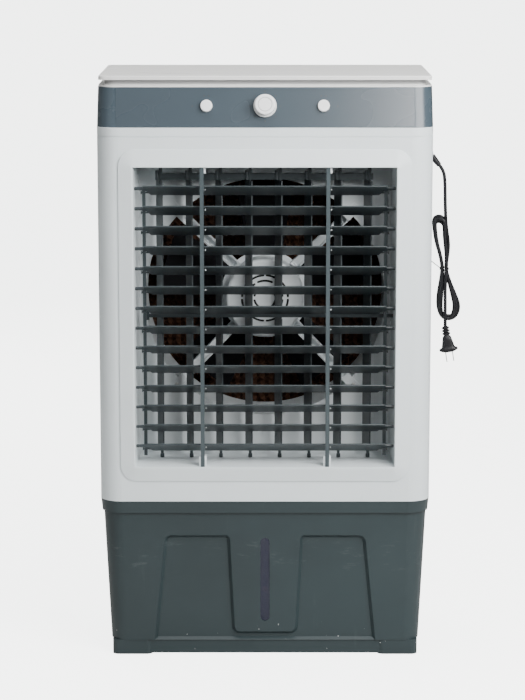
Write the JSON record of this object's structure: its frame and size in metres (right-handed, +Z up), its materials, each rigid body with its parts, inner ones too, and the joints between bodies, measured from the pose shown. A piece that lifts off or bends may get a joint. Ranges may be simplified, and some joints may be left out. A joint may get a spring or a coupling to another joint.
{
  "type": "evaporative cooler",
  "caption": "Floor-standing evaporative air cooler: white casing with tilting louvres and swing vanes over a fan, control band on top, grey water tank below.",
  "frame": {"origin": "on the floor under the middle of the casing, midway between the outlet bezel and the rear grille", "axes": "+Z up, -Y towards the air outlet (the front), +X towards the side with the mains lead"},
  "size_m": [0.6617, 0.36, 1.059],
  "materials": {
    "white_shell": "satin",
    "grey_shell": "satin",
    "panel_grey": "gloss",
    "blade_grey": "satin",
    "stay_grey": "satin",
    "inner_white": "satin",
    "knob_white": "satin",
    "fan_black": "satin",
    "motor_black": "matt",
    "shaft_steel": "brushed",
    "pad_brown": "rough paper",
    "lens_clear": "clear",
    "float_red": "gloss",
    "rubber_black": "satin",
    "hose_grey": "satin"
  },
  "bodies": {
    "cabinet": {"base_collar": "grey_shell", "cable_gland": "rubber_black", "control_housing": "panel_grey", "control_overlay": "panel_grey", "cooling_pad": "pad_brown", "cord_hank": "rubber_black", "drain_plug": "rubber_black", "fan_motor": "motor_black", "fan_shroud": "inner_white", "front_casing": "white_shell", "level_window": "lens_clear", "louvre_frame": "white_shell", "louvre_stays": "stay_grey", "motor_bracket": "inner_white", "motor_cover": "inner_white", "plug": "rubber_black", "power_cord": "rubber_black", "pump": "fan_black", "rear_casing": "white_shell", "rear_grille": "white_shell", "speed_switch": "fan_black", "swing_motor": "fan_black", "tank": "grey_shell", "top_cover": "white_shell", "vane_rails": "blade_grey", "water_distributor": "inner_white", "water_hose": "hose_grey"},
    "louvre_01": {"louvre_01": "blade_grey"},
    "louvre_02": {"louvre_02": "blade_grey"},
    "louvre_03": {"louvre_03": "blade_grey"},
    "louvre_04": {"louvre_04": "blade_grey"},
    "louvre_05": {"louvre_05": "blade_grey"},
    "louvre_06": {"louvre_06": "blade_grey"},
    "louvre_07": {"louvre_07": "blade_grey"},
    "louvre_08": {"louvre_08": "blade_grey"},
    "louvre_09": {"louvre_09": "blade_grey"},
    "louvre_10": {"louvre_10": "blade_grey"},
    "louvre_11": {"louvre_11": "blade_grey"},
    "louvre_12": {"louvre_12": "blade_grey"},
    "louvre_13": {"louvre_13": "blade_grey"},
    "louvre_14": {"louvre_14": "blade_grey"},
    "vane_1": {"vane_1": "blade_grey"},
    "vane_2": {"vane_2": "blade_grey"},
    "vane_3": {"vane_3": "blade_grey"},
    "vane_4": {"vane_4": "blade_grey"},
    "vane_5": {"vane_5": "blade_grey"},
    "vane_6": {"vane_6": "blade_grey"},
    "vane_7": {"vane_7": "blade_grey"},
    "vane_8": {"vane_8": "blade_grey"},
    "link_rods": {"link_rods": "blade_grey"},
    "vane_tie_bar": {"vane_tie_bar": "blade_grey"},
    "fan_rotor": {"fan": "fan_black", "fan_shaft": "shaft_steel"},
    "pump_rotor": {"pump_impeller": "fan_black"},
    "float": {"float_ball": "float_red"},
    "fill_flap": {"fill_flap": "white_shell"},
    "speed_knob": {"speed_knob": "knob_white"},
    "button_left": {"button_left": "knob_white"},
    "button_right": {"button_right": "knob_white"},
    "swing_crank": {"swing_crank": "fan_black"}
  },
  "joints": [
    {"name": "louvre_01_tilt", "type": "hinge", "parent": "cabinet", "child": "louvre_01", "pos_m": [0, -0.153, 0.39], "axis": [1, 0, 0], "range_deg": [-36, 66]},
    {"name": "louvre_02_tilt", "type": "hinge", "parent": "cabinet", "child": "louvre_02", "pos_m": [0, -0.153, 0.42608], "axis": [1, 0, 0], "range_deg": [-36, 66]},
    {"name": "louvre_03_tilt", "type": "hinge", "parent": "cabinet", "child": "louvre_03", "pos_m": [0, -0.153, 0.46215], "axis": [1, 0, 0], "range_deg": [-36, 66]},
    {"name": "louvre_04_tilt", "type": "hinge", "parent": "cabinet", "child": "louvre_04", "pos_m": [0, -0.153, 0.49823], "axis": [1, 0, 0], "range_deg": [-36, 66]},
    {"name": "louvre_05_tilt", "type": "hinge", "parent": "cabinet", "child": "louvre_05", "pos_m": [0, -0.153, 0.53431], "axis": [1, 0, 0], "range_deg": [-36, 66]},
    {"name": "louvre_06_tilt", "type": "hinge", "parent": "cabinet", "child": "louvre_06", "pos_m": [0, -0.153, 0.57039], "axis": [1, 0, 0], "range_deg": [-36, 66]},
    {"name": "louvre_07_tilt", "type": "hinge", "parent": "cabinet", "child": "louvre_07", "pos_m": [0, -0.153, 0.60646], "axis": [1, 0, 0], "range_deg": [-36, 66]},
    {"name": "louvre_08_tilt", "type": "hinge", "parent": "cabinet", "child": "louvre_08", "pos_m": [0, -0.153, 0.64254], "axis": [1, 0, 0], "range_deg": [-36, 66]},
    {"name": "louvre_09_tilt", "type": "hinge", "parent": "cabinet", "child": "louvre_09", "pos_m": [0, -0.153, 0.67861], "axis": [1, 0, 0], "range_deg": [-36, 66]},
    {"name": "louvre_10_tilt", "type": "hinge", "parent": "cabinet", "child": "louvre_10", "pos_m": [0, -0.153, 0.71469], "axis": [1, 0, 0], "range_deg": [-36, 66]},
    {"name": "louvre_11_tilt", "type": "hinge", "parent": "cabinet", "child": "louvre_11", "pos_m": [0, -0.153, 0.75077], "axis": [1, 0, 0], "range_deg": [-36, 66]},
    {"name": "louvre_12_tilt", "type": "hinge", "parent": "cabinet", "child": "louvre_12", "pos_m": [0, -0.153, 0.78685], "axis": [1, 0, 0], "range_deg": [-36, 66]},
    {"name": "louvre_13_tilt", "type": "hinge", "parent": "cabinet", "child": "louvre_13", "pos_m": [0, -0.153, 0.82292], "axis": [1, 0, 0], "range_deg": [-36, 66]},
    {"name": "louvre_14_tilt", "type": "hinge", "parent": "cabinet", "child": "louvre_14", "pos_m": [0, -0.153, 0.859], "axis": [1, 0, 0], "range_deg": [-36, 66]},
    {"name": "link_rods_pivot", "type": "hinge", "parent": "louvre_08", "child": "link_rods", "pos_m": [0, -0.13502, 0.63377], "axis": [1, 0, 0], "range_deg": [-66, 36]},
    {"name": "vane_1_turn", "type": "hinge", "parent": "cabinet", "child": "vane_1", "pos_m": [-0.1883, -0.108, 0.624], "axis": [0, 0, 1], "range_deg": [-52, 18]},
    {"name": "vane_2_turn", "type": "hinge", "parent": "cabinet", "child": "vane_2", "pos_m": [-0.1345, -0.108, 0.624], "axis": [0, 0, 1], "range_deg": [-52, 18]},
    {"name": "vane_3_turn", "type": "hinge", "parent": "cabinet", "child": "vane_3", "pos_m": [-0.0807, -0.108, 0.624], "axis": [0, 0, 1], "range_deg": [-52, 18]},
    {"name": "vane_4_turn", "type": "hinge", "parent": "cabinet", "child": "vane_4", "pos_m": [-0.0269, -0.108, 0.624], "axis": [0, 0, 1], "range_deg": [-52, 18]},
    {"name": "vane_5_turn", "type": "hinge", "parent": "cabinet", "child": "vane_5", "pos_m": [0.0269, -0.108, 0.624], "axis": [0, 0, 1], "range_deg": [-52, 18]},
    {"name": "vane_6_turn", "type": "hinge", "parent": "cabinet", "child": "vane_6", "pos_m": [0.0807, -0.108, 0.624], "axis": [0, 0, 1], "range_deg": [-52, 18]},
    {"name": "vane_7_turn", "type": "hinge", "parent": "cabinet", "child": "vane_7", "pos_m": [0.1345, -0.108, 0.624], "axis": [0, 0, 1], "range_deg": [-52, 18]},
    {"name": "vane_8_turn", "type": "hinge", "parent": "cabinet", "child": "vane_8", "pos_m": [0.1883, -0.108, 0.624], "axis": [0, 0, 1], "range_deg": [-52, 18]},
    {"name": "tie_bar_pivot", "type": "hinge", "parent": "vane_5", "child": "vane_tie_bar", "pos_m": [0.02939, -0.11613, 0.624], "axis": [0, 0, 1], "range_deg": [-18, 52]},
    {"name": "fan_spin", "type": "hinge", "parent": "cabinet", "child": "fan_rotor", "pos_m": [0, 0, 0.65], "axis": [0, 1, 0], "continuous": true},
    {"name": "pump_spin", "type": "hinge", "parent": "cabinet", "child": "pump_rotor", "pos_m": [0.24, 0.07, 0.05], "axis": [0, 0, 1], "continuous": true},
    {"name": "swing_crank_spin", "type": "hinge", "parent": "cabinet", "child": "swing_crank", "pos_m": [0.2525, -0.1165, 0.615], "axis": [0, 0, 1], "continuous": true},
    {"name": "speed_knob_turn", "type": "hinge", "parent": "cabinet", "child": "speed_knob", "pos_m": [0, -0.15243, 1.006], "axis": [0, 0.9681, -0.2504], "range_deg": [0, 315]},
    {"name": "button_left_press", "type": "slide", "parent": "cabinet", "child": "button_left", "axis": [0, 0.9681, -0.2504], "range_m": [0, 0.004], "stiffness_N_per_m": 400, "springref_m": -0.001},
    {"name": "button_right_press", "type": "slide", "parent": "cabinet", "child": "button_right", "axis": [0, 0.9681, -0.2504], "range_m": [0, 0.004], "stiffness_N_per_m": 400, "springref_m": -0.001},
    {"name": "float_rise", "type": "slide", "parent": "cabinet", "child": "float", "axis": [0, -0.0062, 1], "range_m": [-0.048, 0.09]},
    {"name": "fill_flap_open", "type": "hinge", "parent": "cabinet", "child": "fill_flap", "pos_m": [-0.2975, 0.105, 0.3081], "axis": [0, -1, 0], "range_deg": [0, 85]}
  ],
  "couplings": [
    {"joint": "louvre_01_tilt", "follows": "louvre_08_tilt", "ratio": 1},
    {"joint": "louvre_02_tilt", "follows": "louvre_08_tilt", "ratio": 1},
    {"joint": "louvre_03_tilt", "follows": "louvre_08_tilt", "ratio": 1},
    {"joint": "louvre_04_tilt", "follows": "louvre_08_tilt", "ratio": 1},
    {"joint": "louvre_05_tilt", "follows": "louvre_08_tilt", "ratio": 1},
    {"joint": "louvre_06_tilt", "follows": "louvre_08_tilt", "ratio": 1},
    {"joint": "louvre_07_tilt", "follows": "louvre_08_tilt", "ratio": 1},
    {"joint": "louvre_09_tilt", "follows": "louvre_08_tilt", "ratio": 1},
    {"joint": "louvre_10_tilt", "follows": "louvre_08_tilt", "ratio": 1},
    {"joint": "louvre_11_tilt", "follows": "louvre_08_tilt", "ratio": 1},
    {"joint": "louvre_12_tilt", "follows": "louvre_08_tilt", "ratio": 1},
    {"joint": "louvre_13_tilt", "follows": "louvre_08_tilt", "ratio": 1},
    {"joint": "louvre_14_tilt", "follows": "louvre_08_tilt", "ratio": 1},
    {"joint": "link_rods_pivot", "follows": "louvre_08_tilt", "ratio": -1},
    {"joint": "vane_1_turn", "follows": "vane_5_turn", "ratio": 1},
    {"joint": "vane_2_turn", "follows": "vane_5_turn", "ratio": 1},
    {"joint": "vane_3_turn", "follows": "vane_5_turn", "ratio": 1},
    {"joint": "vane_4_turn", "follows": "vane_5_turn", "ratio": 1},
    {"joint": "vane_6_turn", "follows": "vane_5_turn", "ratio": 1},
    {"joint": "vane_7_turn", "follows": "vane_5_turn", "ratio": 1},
    {"joint": "vane_8_turn", "follows": "vane_5_turn", "ratio": 1},
    {"joint": "tie_bar_pivot", "follows": "vane_5_turn", "ratio": -1}
  ]
}
